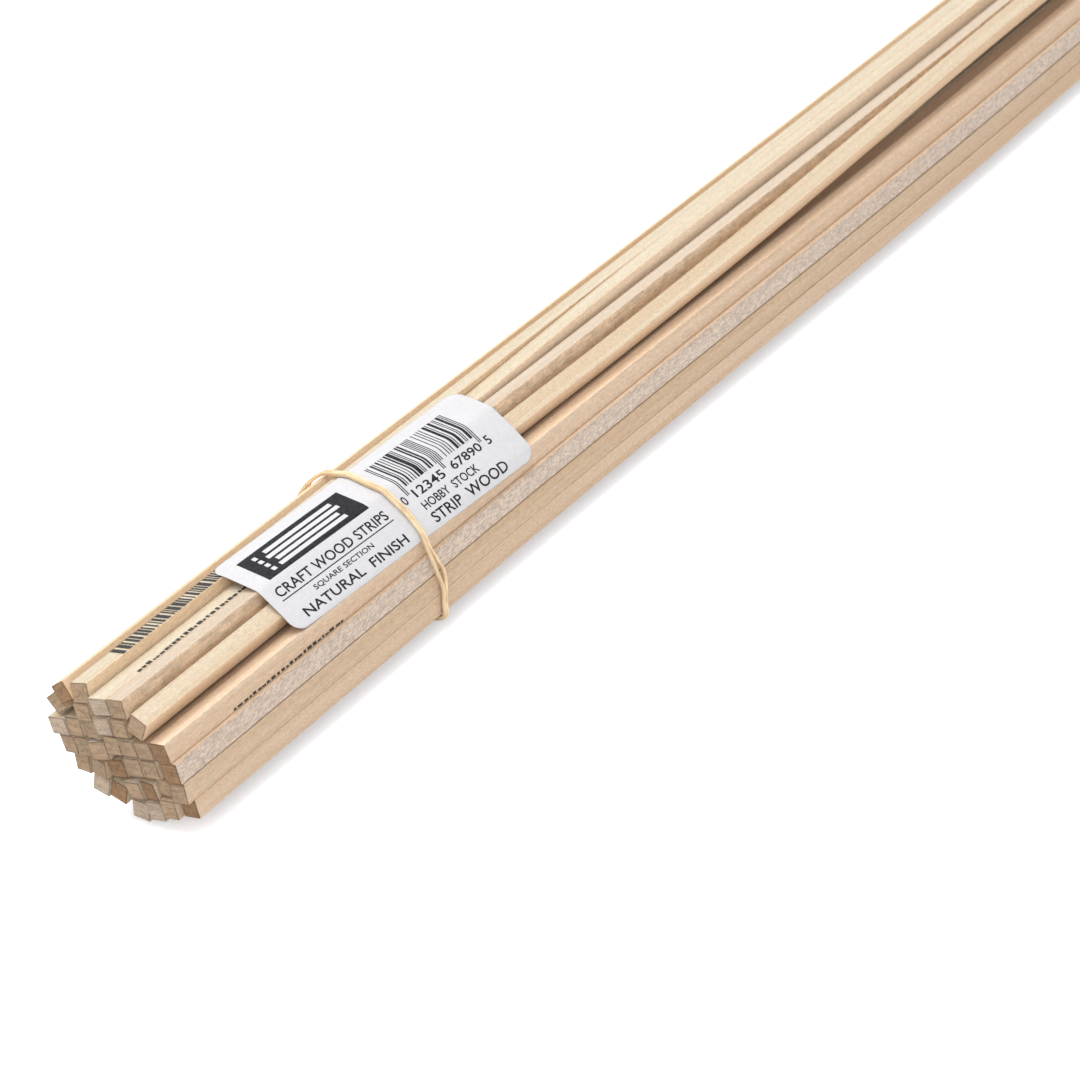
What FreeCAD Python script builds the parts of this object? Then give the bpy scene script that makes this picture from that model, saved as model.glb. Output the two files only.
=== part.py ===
import FreeCAD, Part
import math
import os
from collections import namedtuple

import Sketcher
from FreeCAD import Placement, Rotation, Vector

# A bundle of square basswood strips held by two rubber bands, with a paper label tucked under the
# front band.  Millimetres; +X runs along the strips towards the far end, +Z is up, and the origin
# is the middle of the bundle's footprint, on the plane that the two bands rest on.

OUTPUT_FOLDER = "parts"

STRIP_SIDE = 4.7625

# Driving dimensions.  Every number goes into the spreadsheet under its alias.
DIMENSIONS = (
    ("strip_side", STRIP_SIDE, "side of a strip, 3/16 in"),
    ("strip_length", 609.6, "length of a strip, 24 in"),
    ("band_width", 3.4, "width of a band, its two turns side by side"),
    ("band_thickness", 1.1, "thickness of the rubber"),
    ("band_clearance", 0.35, "room between the strips' outline and the rubber"),
    ("band_from_end", 94.0, "from the end of the bundle to the middle of a band"),
    ("label_length", 91.5, "length of the label along the strips"),
    ("label_from_end", 47.4, "from the near end of the bundle to the label"),
    ("label_thickness", 0.18, "thickness of the paper"),
    ("label_gap", 0.06, "room between the strips' outline and the paper"),
    ("label_corner", 3.5, "radius of the label's corners"),
    ("label_skew", 1.8, "how far the label is turned out of line with the strips, degrees"),
    ("label_upper_margin", 0.3, "from the crown strip's far arris to the upper edge's near end"),
    ("label_lower_margin", 0.5, "from the lower strip's outer arris to the lower edge's near end"),
    ("label_tool_depth", 14.0, "depth of the rounded block that cuts the label to shape"),
    ("label_tool_sink", 3.5, "how far that block starts below those two arrises"),
)

# How the strips lie in the bundle, seen in section.  across and up place a strip's axis from the
# bundle's middle and from its lowest arris, lean turns it about its axis, and inset is how far its
# near end is drawn back from the near end of the bundle.
Strip = namedtuple("Strip", "across up lean inset")


def tipped(lean):
    """Height of a strip's axis when it leans on its lowest arris."""
    angle = math.radians(lean)
    return STRIP_SIDE / 2 * (math.cos(angle) + math.sin(angle))


STRIPS = (
    # foot: two strips tipped on an arris carry the bundle, three lie beside them
    Strip(10.09, tipped(18), 18, 8.0),
    Strip(-0.66, tipped(15), 15, 0.9),
    Strip(-6.06, 3.60, 0, 0.3),
    Strip(-10.94, 4.85, 0, 0.0),
    Strip(-15.81, 4.80, 0, 1.7),
    # second course, its left pair leaning
    Strip(9.74, 8.20, 24, 1.2),
    Strip(5.04, 6.75, 24, 1.4),
    Strip(-1.26, 8.30, 0, 0.5),
    Strip(-6.13, 8.85, 0, 0.5),
    Strip(-10.98, 9.90, 0, 1.0),
    Strip(-15.86, 9.65, 0, 0.0),
    # third course
    Strip(13.99, 13.25, 8, 1.7),
    Strip(7.99, 13.15, 15, 0.7),
    Strip(2.29, 13.40, 0, 1.1),
    Strip(-4.46, 15.05, 0, 0.0),
    Strip(-9.41, 14.90, 0, 0.2),
    Strip(-15.66, 14.76, 0, 0.0),
    # fourth course, the widest
    Strip(15.09, 18.45, 0, 0.8),
    Strip(9.94, 18.55, 0, 0.4),
    Strip(5.09, 18.25, 0, 0.0),
    Strip(0.24, 20.10, 0, 0.2),
    Strip(-4.61, 19.95, 0, 0.0),
    Strip(-9.46, 19.80, 0, 0.1),
    Strip(-14.51, 19.85, 0, 0.1),
    # fifth course, with one strip standing nearly on edge at its right
    Strip(15.64, 23.50, 6, 0.2),
    Strip(10.59, 23.75, 0, 0.4),
    Strip(5.74, 23.40, 0, 0.6),
    Strip(0.89, 25.10, 0, 0.0),
    Strip(-4.21, 25.10, 0, 0.1),
    Strip(-9.99, 25.99, 33, 0.0),
    # sixth course
    Strip(14.29, 29.20, -28, 0.9),
    Strip(5.74, 28.30, 0, 0.0),
    Strip(-0.41, 30.20, 5, 0.0),
    Strip(-5.41, 30.05, 0, 0.2),
    # crown
    Strip(10.34, 32.75, -24, 0.1),
    Strip(4.59, 33.15, 0, 0.3),
)

# The label's near end reaches from the outer arris of one strip to the far arris of the crown
# strip.  Its skew carries the far end down over the first of them.
LABEL_LOWER_STRIP = 24
LABEL_UPPER_STRIP = 36

NODES = []


def make_sheet(doc):
    """Put the driving dimensions and the strips' places into the spreadsheet."""
    sheet = doc.addObject("Spreadsheet::Sheet", "Sizes")
    entries = list(DIMENSIONS)
    for number, strip in enumerate(STRIPS, 1):
        for field, value in zip(Strip._fields, strip):
            entries.append((alias(field, number), value, "strip %d" % number))
    entries.append(("greatest_inset", max(strip.inset for strip in STRIPS), "of all the strips"))
    for row, (name, value, meaning) in enumerate(entries, 1):
        sheet.set("A%d" % row, meaning)
        sheet.set("B%d" % row, str(value))
        sheet.setAlias("B%d" % row, name)
    doc.recompute()
    return sheet


def alias(field, number):
    """The sheet's name for one field of one strip, such as lean_07."""
    return "%s_%02d" % (field, number)


def bind(thing, bindings):
    """Bind properties of a document object to expressions."""
    for path, expression in bindings.items():
        thing.setExpression(path, expression)


def add_node(thing, label):
    """Name a finished sub-part, so that it is checked and written."""
    thing.Label = label
    NODES.append(thing)


# Expressions that several sub-parts share.
NEAR_END = "-(Sizes.strip_length + Sizes.greatest_inset) / 2"
REST_LEVEL = "Sizes.band_thickness + Sizes.band_clearance"


# ---------------------------------------------------------------- strips


def origin_plane(body, role):
    """One of a body's own origin planes."""
    return next(plane for plane in body.Origin.OriginFeatures if plane.Role == role)


def add_square(body, side):
    """A centred square sketch on the body's YZ plane, its side bound to the sheet."""
    sketch = body.newObject("Sketcher::SketchObject", body.Name + "_section")
    sketch.AttachmentSupport = [(origin_plane(body, "YZ_Plane"), "")]
    sketch.MapMode = "FlatFace"
    half = side / 2
    corners = [Vector(-half, -half), Vector(half, -half), Vector(half, half), Vector(-half, half)]
    for corner, following in zip(corners, corners[1:] + corners[:1]):
        sketch.addGeometry(Part.LineSegment(corner, following))
    for edge in range(4):
        sketch.addConstraint(Sketcher.Constraint("Coincident", edge, 2, (edge + 1) % 4, 1))
    for edge, direction in enumerate(("Horizontal", "Vertical", "Horizontal", "Vertical")):
        sketch.addConstraint(Sketcher.Constraint(direction, edge))
    sketch.addConstraint(Sketcher.Constraint("Symmetric", 0, 1, 1, 2, -1, 1))
    for edge, direction in ((0, "DistanceX"), (1, "DistanceY")):
        index = sketch.addConstraint(Sketcher.Constraint(direction, edge, 1, edge, 2, side))
        sketch.setExpression("Constraints[%d]" % index, "Sizes.strip_side")
    return sketch


def add_strip(doc, sheet, number):
    """One strip: a square sketch padded to its length and laid in its place in the bundle."""
    label = "strip_%02d" % number
    body = doc.addObject("PartDesign::Body", label)
    pad = body.newObject("PartDesign::Pad", label + "_pad")
    pad.Profile = add_square(body, sheet.strip_side)
    pad.setExpression("Length", "Sizes.strip_length")
    body.Tip = pad
    lean = getattr(sheet, alias("lean", number))
    body.Placement = Placement(Vector(), Rotation(Vector(1, 0, 0), lean))
    bind(
        body,
        {
            "Placement.Base.x": "%s + Sizes.%s" % (NEAR_END, alias("inset", number)),
            "Placement.Base.y": "Sizes.%s" % alias("across", number),
            "Placement.Base.z": "Sizes.%s + %s" % (alias("up", number), REST_LEVEL),
            "Placement.Rotation.Angle": "Sizes.%s" % alias("lean", number),
        },
    )
    add_node(body, label)


# ---------------------------------------------------------------- outline of the bundle


def strip_corners(sheet, number):
    """The four corners of a strip's section as (y, z) from the bundle's lowest arris."""
    across, up, lean = (getattr(sheet, alias(field, number)) for field in ("across", "up", "lean"))
    reach = sheet.strip_side / math.sqrt(2)
    angles = [math.radians(lean + 45 + 90 * quarter) for quarter in range(4)]
    return [(across + reach * math.cos(angle), up + reach * math.sin(angle)) for angle in angles]


def half_hull(points):
    """The lower boundary, left to right, of points sorted by y."""
    chain = []
    for point in points:
        while len(chain) > 1 and turn(chain[-2], chain[-1], point) <= 0:
            chain.pop()
        chain.append(point)
    return chain[:-1]


def turn(first, second, third):
    """Positive when the way from first through second to third bends left."""
    return (second[0] - first[0]) * (third[1] - first[1]) - (second[1] - first[1]) * (third[0] - first[0])


def add_outline(doc, sheet):
    """The stretched outline round all the strips, as a closed wire at the near end."""
    corners = sorted(corner for number in range(1, len(STRIPS) + 1) for corner in strip_corners(sheet, number))
    hull = half_hull(corners) + half_hull(corners[::-1])
    points = [Vector(0, y, z) for y, z in hull]
    outline = doc.addObject("Part::Feature", "bundle_outline")
    outline.Shape = Part.makePolygon(points + points[:1])
    bind(outline, {"Placement.Base.x": NEAR_END, "Placement.Base.z": REST_LEVEL})
    return outline


def add_shell(doc, name, outline, inner, outer, length):
    """A tube of the bundle's outline, from the inner to the outer offset, length along +X."""
    walls = []
    for side, distance in (("outer", outer), ("inner", inner)):
        edge = doc.addObject("Part::Offset2D", "%s_%s_edge" % (name, side))
        edge.Source = outline
        edge.Join = "Arc"
        edge.setExpression("Value", distance)
        wall = doc.addObject("Part::Extrusion", "%s_%s" % (name, side))
        wall.Base = edge
        wall.DirMode = "Custom"
        wall.Dir = Vector(1, 0, 0)
        wall.Solid = True
        wall.setExpression("LengthFwd", length)
        walls.append(wall)
    shell = doc.addObject("Part::Cut", name)
    shell.Base, shell.Tool = walls
    return shell


# ---------------------------------------------------------------- bands and label


def add_band(doc, outline, label, end):
    """A rubber band round the bundle near one end, which is -1 (near) or 1 (far) as text."""
    shell = add_shell(
        doc,
        label,
        outline,
        "Sizes.band_clearance",
        "Sizes.band_clearance + Sizes.band_thickness",
        "Sizes.band_width",
    )
    bundle = "(Sizes.strip_length + Sizes.greatest_inset)"
    middle = "%s * (%s / 2 - Sizes.band_from_end)" % (end, bundle)
    # the outline stands at the near end, half the bundle's length before the origin
    start = "%s / 2 + %s - Sizes.band_width / 2" % (bundle, middle)
    shell.setExpression("Placement.Base.x", start)
    add_node(shell, label)


def add_label(doc, outline):
    """The paper label: the part of a thin sheet round the bundle that a rounded block cuts out."""
    sheet_round = add_shell(
        doc,
        "label_sheet",
        outline,
        "Sizes.label_gap",
        "Sizes.label_gap + Sizes.label_thickness",
        "Sizes.label_from_end + Sizes.label_length + Sizes.label_corner",
    )
    label = doc.addObject("Part::Common", "label")
    label.Base = sheet_round
    label.Tool = add_label_block(doc)
    add_node(label, "label")


def add_label_block(doc):
    """The block with four rounded corners that stands over the label and gives its edges."""
    lower = {field: "Sizes.%s" % alias(field, LABEL_LOWER_STRIP) for field in Strip._fields}
    upper = {field: "Sizes.%s" % alias(field, LABEL_UPPER_STRIP) for field in Strip._fields}
    width = "(%s + Sizes.strip_side - %s)" % (upper["across"], lower["across"])
    rise = "(%s - %s)" % (upper["up"], lower["up"])
    tilt = "atan2(%s; %s)" % (rise, width)
    # the block's near lower corner is that strip's outer arris, moved up the slope by the margin
    # and into the bundle by the sink
    margin_and_sink = "Sizes.label_lower_margin * %s(%s) %s Sizes.label_tool_sink * %s(%s)"
    corner_y = "%s - Sizes.strip_side / 2 + " % lower["across"]
    corner_y += margin_and_sink % ("cos", tilt, "+", "sin", tilt)
    corner_z = "%s + Sizes.strip_side / 2 + %s + " % (lower["up"], REST_LEVEL)
    corner_z += margin_and_sink % ("sin", tilt, "-", "cos", tilt)
    corner = "vector(%s + Sizes.label_from_end; %s; %s)" % (NEAR_END, corner_y, corner_z)
    turned = "rotation(vector(1; 0; 0); %s) * rotation(vector(0; 0; 1); -Sizes.label_skew)" % tilt
    block = doc.addObject("Part::Box", "label_block")
    bind(
        block,
        {
            "Length": "Sizes.label_length",
            "Width": "sqrt(%s ^ 2 + %s ^ 2) - Sizes.label_upper_margin - Sizes.label_lower_margin"
            % (width, rise),
            "Height": "Sizes.label_tool_depth",
            "Placement": "placement(%s; %s)" % (corner, turned),
        },
    )
    doc.recompute()
    normal = block.Placement.Rotation.multVec(Vector(0, 0, 1))
    radius = doc.Sizes.label_corner
    rounded = doc.addObject("Part::Fillet", "label_rounded_block")
    rounded.Base = block
    rounded.Edges = [
        (index, radius, radius)
        for index, edge in enumerate(block.Shape.Edges, 1)
        if abs(edge.tangentAt(edge.FirstParameter).dot(normal)) > 0.99
    ]
    return rounded


# ---------------------------------------------------------------- build, check, write


def check(doc):
    """Stop if any object failed or a sub-part isn't one valid solid."""
    for thing in doc.Objects:
        if "Invalid" in thing.State or "Error" in thing.State:
            raise RuntimeError("%s failed: %s" % (thing.Name, thing.State))
    for node in NODES:
        shape = node.Shape
        if shape.isNull() or not shape.isValid() or len(shape.Solids) != 1:
            raise RuntimeError("%s isn't one valid solid" % node.Label)


def main():
    doc = FreeCAD.newDocument("StripBundle")
    sheet = make_sheet(doc)
    for number in range(1, len(STRIPS) + 1):
        add_strip(doc, sheet, number)
    outline = add_outline(doc, sheet)
    for label, end in (("rubber_band_front", "-1"), ("rubber_band_rear", "1")):
        add_band(doc, outline, label, end)
    add_label(doc, outline)
    doc.recompute()
    check(doc)
    os.makedirs(OUTPUT_FOLDER, exist_ok=True)
    for node in NODES:
        node.Shape.exportStep(os.path.join(OUTPUT_FOLDER, node.Label + ".step"))
    print("wrote %d sub-parts" % len(NODES))


main()
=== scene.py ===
"""Looks for a bundle of square basswood strips: wood, two rubber bands and a printed label.

Each strip, band and label stands where the CAD puts it.  Lengths are in millimetres in this
script's own sums, and MM turns them into the frame's metres.
"""

import math
from collections import namedtuple

import bmesh
import bpy
import numpy as np
from mathutils import Matrix, Vector


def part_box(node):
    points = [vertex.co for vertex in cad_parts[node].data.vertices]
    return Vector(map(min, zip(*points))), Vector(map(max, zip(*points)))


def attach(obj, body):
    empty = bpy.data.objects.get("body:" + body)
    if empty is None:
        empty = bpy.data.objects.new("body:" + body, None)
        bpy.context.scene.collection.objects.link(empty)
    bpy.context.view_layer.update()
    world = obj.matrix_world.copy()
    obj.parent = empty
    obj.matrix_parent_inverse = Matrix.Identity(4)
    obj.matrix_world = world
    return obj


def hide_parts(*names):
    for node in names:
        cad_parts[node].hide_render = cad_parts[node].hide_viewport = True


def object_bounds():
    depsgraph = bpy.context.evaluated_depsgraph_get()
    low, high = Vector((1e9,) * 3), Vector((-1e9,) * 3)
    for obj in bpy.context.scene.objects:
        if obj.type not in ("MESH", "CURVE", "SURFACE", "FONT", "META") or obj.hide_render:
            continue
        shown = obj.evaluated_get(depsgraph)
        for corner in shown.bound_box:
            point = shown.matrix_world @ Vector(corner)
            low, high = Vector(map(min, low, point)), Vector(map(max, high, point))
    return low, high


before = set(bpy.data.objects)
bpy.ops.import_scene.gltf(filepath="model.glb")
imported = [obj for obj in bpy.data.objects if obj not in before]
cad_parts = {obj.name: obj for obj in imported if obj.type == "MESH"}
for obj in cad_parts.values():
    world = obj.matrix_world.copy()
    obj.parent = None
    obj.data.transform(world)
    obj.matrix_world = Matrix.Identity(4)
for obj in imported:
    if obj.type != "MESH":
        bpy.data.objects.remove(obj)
CAD_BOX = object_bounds()

MM = 0.001
STRIP_COUNT = sum(name.startswith("strip_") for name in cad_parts)
random = np.random.default_rng(36)


# ---------------------------------------------------------------- places read from the CAD


class Strip:
    """A strip as the CAD places it: the middle of its section, its lean and its two ends."""

    def __init__(self, number):
        self.number = number
        self.node = "strip_%02d" % number
        points = np.array([vertex.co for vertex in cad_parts[self.node].data.vertices]) / MM
        self.near = points[:, 0].min()
        self.far = points[:, 0].max()
        corners = np.unique(points[:, 1:].round(3), axis=0)
        self.middle = corners.mean(axis=0)
        self.corners = corners
        reach = corners[0] - self.middle
        self.side = math.hypot(*reach) * math.sqrt(2)
        quarter = math.degrees(math.atan2(reach[1], reach[0])) % 90
        self.lean = math.radians(quarter - 45)


STRIPS = [Strip(number) for number in range(1, STRIP_COUNT + 1)]
SIDE = STRIPS[0].side
NEAR_END = min(strip.near for strip in STRIPS)


def box_mm(node):
    """A CAD node's lowest and highest corner in millimetres."""
    low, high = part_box(node)
    return np.array(low) / MM, np.array(high) / MM


FRONT_BAND = "rubber_band_front"
REAR_BAND = "rubber_band_rear"
BAND_PLACES = {name: np.mean(box_mm(name), axis=0)[0] for name in (FRONT_BAND, REAR_BAND)}

# Which strip is which, where the bundle's top and right-hand side are described one by one.
CROWN = 36
CROWN_LEFT = 35
LEFT_SHOULDER = 31
TOP_MIDDLE = 33
TOP_RIGHT = 34
SHOULDER = 30
SIDE_UPPER = 24
SIDE_FLECKED = 17
SIDE_LOWER = 11
SIDE_FOOT = 5
INNER_SHOULDER = (23, 29)


# ---------------------------------------------------------------- how the strips wander


def smooth(share):
    """A smooth step from 0 to 1."""
    share = np.clip(share, 0, 1)
    return share * share * (3 - 2 * share)


def swell(x, start, full, ease, end):
    """0 up to start, 1 between full and ease, and 0 again from end on."""
    return smooth((x - start) / (full - start)) * smooth((end - x) / (end - ease))


# The whole bundle bows sideways between two places, its right-hand and lower strips more.
BOW = 2.1
BOW_PER_ACROSS = -0.05
BOW_PER_UP = -0.03
BOW_STARTS = NEAR_END + 110
BOW_ENDS = NEAR_END + 580
MIDDLE_HEIGHT = (CAD_BOX[0][2] + CAD_BOX[1][2]) / 2 / MM

# Strips that stray by themselves between the bands: how far across and up, and where the stray
# starts and is full, from the near end, and where it eases off and ends, back from the rear band.
Stray = namedtuple("Stray", "across up start full ease end")
STRAYS = {
    TOP_MIDDLE: (Stray(0.1, 3.2, 60, 250, 130, 6),),
    TOP_RIGHT: (Stray(-0.5, -0.15, 110, 170, 90, 6),),
    SHOULDER: (
        Stray(-0.75, 0, 125, 185, 30, 4),
        Stray(-1.25, 0, 150, 280, 45, 4),
        Stray(0, 4.3, 165, 400, 90, 6),
    ),
    CROWN_LEFT: (Stray(0.5, -0.7, 100, 170, 90, 6),),
    LEFT_SHOULDER: (Stray(0.65, 0, 100, 170, 90, 6),),
}
# The other strips wander a little, each in its own way.
LOOSENESS = 0.05
WANDER = {strip.number: random.normal(0, LOOSENESS, (2, 2)) for strip in STRIPS}


def bow(x, middle):
    """How far the bundle bows across at each x, at one place (across, up) in its section."""
    share = np.clip((x - BOW_STARTS) / (BOW_ENDS - BOW_STARTS), 0, 1)
    size = BOW + BOW_PER_ACROSS * middle[0] + BOW_PER_UP * (middle[1] - MIDDLE_HEIGHT)
    return -size * np.sin(math.pi * share) ** 2


def drift(strip, x):
    """How far a strip's axis strays across and up from its straight CAD axis, at each x."""
    across = bow(x, strip.middle)
    up = np.zeros_like(x)
    front = BAND_PLACES[FRONT_BAND]
    rear = BAND_PLACES[REAR_BAND]
    for stray in STRAYS.get(strip.number, ()):
        share = swell(x, NEAR_END + stray.start, NEAR_END + stray.full, rear - stray.ease, rear - stray.end)
        across = across + stray.across * share
        up = up + stray.up * share
    if strip.number not in STRAYS:
        span = np.clip((x - front) / (rear - front), 0, 1)
        first, second = WANDER[strip.number]
        waves = np.sin(math.pi * span)[:, None] * first + np.sin(2 * math.pi * span)[:, None] * second
        across = across + waves[:, 0]
        up = up + waves[:, 1]
    return across, up


def on_strip(strip, x, along_side, along_up):
    """Points of a strip's own section, given in its own leaning axes, carried to each x."""
    x = np.asarray(x, float)
    across, up = drift(strip, x)
    cosine, sine = math.cos(strip.lean), math.sin(strip.lean)
    y = strip.middle[0] + across + along_side * cosine - along_up * sine
    z = strip.middle[1] + up + along_side * sine + along_up * cosine
    return np.stack([x + 0 * y, y, z], axis=-1)


# ---------------------------------------------------------------- mesh helpers


def add_piece(name, points, faces, materials, face_materials=None):
    """A mesh object from points in millimetres."""
    mesh = bpy.data.meshes.new(name)
    mesh.from_pydata((np.asarray(points) * MM).tolist(), [], faces)
    for material in materials:
        mesh.materials.append(material)
    if face_materials is not None:
        mesh.polygons.foreach_set("material_index", np.asarray(face_materials, np.int32))
    mesh.update()
    piece = bpy.data.objects.new(name, mesh)
    bpy.context.scene.collection.objects.link(piece)
    return piece


def tube_faces(ring_count, ring_size, closed=False):
    """Quads between rings of points, and, unless it closes on itself, a face over each end."""
    faces = []
    last = ring_count if closed else ring_count - 1
    for ring in range(last):
        here = ring * ring_size
        there = (ring + 1) % ring_count * ring_size
        for point in range(ring_size):
            following = (point + 1) % ring_size
            faces.append((here + point, there + point, there + following, here + following))
    if not closed:
        faces.append(tuple(range(ring_size)))
        faces.append(tuple(reversed(range((ring_count - 1) * ring_size, ring_count * ring_size))))
    return faces


def rounded_rectangle(width, height, radius, steps):
    """Points of a rounded rectangle about the origin, anticlockwise from its right foot."""
    points = []
    for quarter, (right, top) in enumerate(((1, -1), (1, 1), (-1, 1), (-1, -1))):
        centre = np.array([right * (width / 2 - radius), top * (height / 2 - radius)])
        for step in range(steps + 1):
            angle = math.pi / 2 * (quarter - 1 + step / steps)
            points.append(centre + radius * np.array([math.cos(angle), math.sin(angle)]))
    return np.array(points)


def give_attribute(mesh, name, kind, domain, values, field):
    """Store values on a mesh under a name that its material reads."""
    layer = mesh.attributes.new(name, kind, domain)
    layer.data.foreach_set(field, np.asarray(values, np.float32).ravel())


# ---------------------------------------------------------------- material helpers


def linear(red, green, blue):
    """A screen colour, 0 to 255, as the renderer's linear colour."""
    channels = [value / 255 for value in (red, green, blue)]
    return tuple(c / 12.92 if c <= 0.04045 else ((c + 0.055) / 1.055) ** 2.4 for c in channels)


class Shader:
    """A material under construction, with short calls for the nodes that the script uses."""

    def __init__(self, name):
        self.material = bpy.data.materials.new(name)
        self.material.use_nodes = True
        self.tree = self.material.node_tree
        self.surface = self.tree.nodes["Principled BSDF"]

    def node(self, kind, inputs=(), **settings):
        """Add a node, set its options, and fill its inputs with values or links."""
        made = self.tree.nodes.new("ShaderNode" + kind)
        for name, value in settings.items():
            setattr(made, name, value)
        for socket, value in dict(inputs).items():
            self.fill(made.inputs[socket], value)
        return made

    def fill(self, socket, value):
        if isinstance(value, bpy.types.NodeSocket):
            self.tree.links.new(value, socket)
        else:
            socket.default_value = value

    def finish(self, **inputs):
        """Fill inputs of the surface, with _ for the spaces in their names."""
        for name, value in inputs.items():
            self.fill(self.surface.inputs[name.replace("_", " ")], value)
        return self.material

    def attribute(self, name, output):
        return self.node("Attribute", attribute_name=name).outputs[output]

    def math(self, operation, *values):
        return self.node("Math", enumerate(values), operation=operation).outputs[0]

    def stretched(self, vector, x, y, z):
        """A vector with each part multiplied, so that a pattern runs long or short that way."""
        return self.node("VectorMath", {0: vector, 1: (x, y, z)}, operation="MULTIPLY").outputs[0]

    def noise(self, vector, detail=2.0, roughness=0.5, distortion=0.0):
        inputs = {"Vector": vector, "Scale": 1.0, "Detail": detail, "Roughness": roughness}
        inputs["Distortion"] = distortion
        return self.node("TexNoise", inputs).outputs[0]

    def between(self, value, low, high, to_low=0.0, to_high=1.0):
        """A value's place between low and high, smoothly, as a number from to_low to to_high."""
        inputs = {"Value": value, "From Min": low, "From Max": high, "To Min": to_low, "To Max": to_high}
        return self.node("MapRange", inputs, interpolation_type="SMOOTHSTEP").outputs[0]

    def mix(self, factor, first, second, blend="MIX"):
        made = self.node("Mix", data_type="RGBA", blend_type=blend)
        self.fill(made.inputs[0], factor)
        self.fill(made.inputs[6], first)
        self.fill(made.inputs[7], second)
        return made.outputs[2]

    def shade(self, colour, factor):
        """A colour multiplied by a grey value."""
        grey = self.node("CombineColor", {0: factor, 1: factor, 2: factor}).outputs[0]
        return self.mix(1.0, colour, grey, "MULTIPLY")

    def bump(self, height, distance, strength=1.0):
        inputs = {"Height": height, "Distance": distance * MM, "Strength": strength}
        return self.node("Bump", inputs).outputs[0]


# ---------------------------------------------------------------- wood

WARM_STREAK = (0.93, 0.87, 0.80, 1)
WARM_LINE = (0.97, 0.88, 0.78, 1)
FLECK_GREY = (*linear(214, 204, 196), 1)
FLECK_SLANT = math.radians(9)


def make_side_wood():
    """Long grain: soft streaks, fine lines, pores, ray flecks and saw marks."""
    shader = Shader("basswood_sides")
    place = shader.attribute("stick", "Vector")
    tone = shader.attribute("tone", "Color")
    figure = shader.node("SeparateXYZ", {0: shader.attribute("figure", "Vector")})
    fleck, sawn, warmth = figure.outputs

    streaks = shader.noise(shader.stretched(place, 0.005, 0.5, 0.5), detail=3.0)
    lines = shader.noise(shader.stretched(place, 0.02, 4.0, 4.0), detail=3.0, roughness=0.6)
    specks = shader.noise(shader.stretched(place, 0.8, 3.4, 3.4), detail=3.0, roughness=0.7)
    pores = shader.noise(shader.stretched(place, 0.30, 9.0, 9.0), detail=1.0)
    pores = shader.between(pores, 0.60, 0.72)

    colour = shader.mix(shader.between(streaks, 0.35, 0.7), tone, WARM_STREAK, "MULTIPLY")
    warm_lines = shader.math("MULTIPLY", warmth, shader.between(lines, 0.4, 0.7))
    colour = shader.mix(warm_lines, colour, WARM_LINE, "MULTIPLY")
    colour = shader.shade(colour, shader.between(lines, 0.3, 0.75, 1.03, 0.95))
    colour = shader.shade(colour, shader.between(specks, 0.34, 0.66, 1.08, 0.87))
    colour = shader.shade(colour, shader.math("SUBTRACT", 1.0, shader.math("MULTIPLY", pores, 0.2)))

    # ray flecks: short pale and dark patches, slanting across the face
    slant = {"Vector": place, "Angle": FLECK_SLANT}
    slanted = shader.node("VectorRotate", slant, rotation_type="Y_AXIS").outputs[0]
    cells = shader.node("TexVoronoi", {"Vector": shader.stretched(slanted, 1.1, 3.2, 3.2), "Scale": 1.0})
    patch = shader.node("SeparateColor", {0: cells.outputs["Color"]}).outputs[0]
    flecked = shader.shade(shader.mix(0.35, colour, FLECK_GREY), shader.between(patch, 0.0, 1.0, 0.8, 1.18))
    colour = shader.mix(fleck, colour, flecked)

    # saw marks: blotches and fine ridges across the grain
    ridges = shader.noise(shader.stretched(place, 2.2, 0.5, 0.5), detail=2.0)
    blotches = shader.noise(shader.stretched(place, 0.28, 0.9, 0.9), detail=4.0, roughness=0.7)
    rough = shader.shade(colour, shader.between(blotches, 0.3, 0.7, 0.72, 1.08))
    rough = shader.shade(rough, shader.between(ridges, 0.3, 0.7, 0.93, 1.05))
    colour = shader.mix(sawn, colour, rough)

    height = shader.math("ADD", shader.math("MULTIPLY", lines, 0.6), shader.math("MULTIPLY", pores, -0.5))
    height = shader.math("ADD", height, shader.math("MULTIPLY", specks, 0.5))
    sawn_height = shader.math("MULTIPLY", shader.math("MULTIPLY", sawn, ridges), 2.0)
    height = shader.math("ADD", height, sawn_height)
    return shader.finish(
        Base_Color=colour,
        Roughness=shader.between(specks, 0.2, 0.8, 0.52, 0.72),
        Specular_IOR_Level=0.35,
        Normal=shader.bump(height, 0.05, 0.6),
    )


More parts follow.
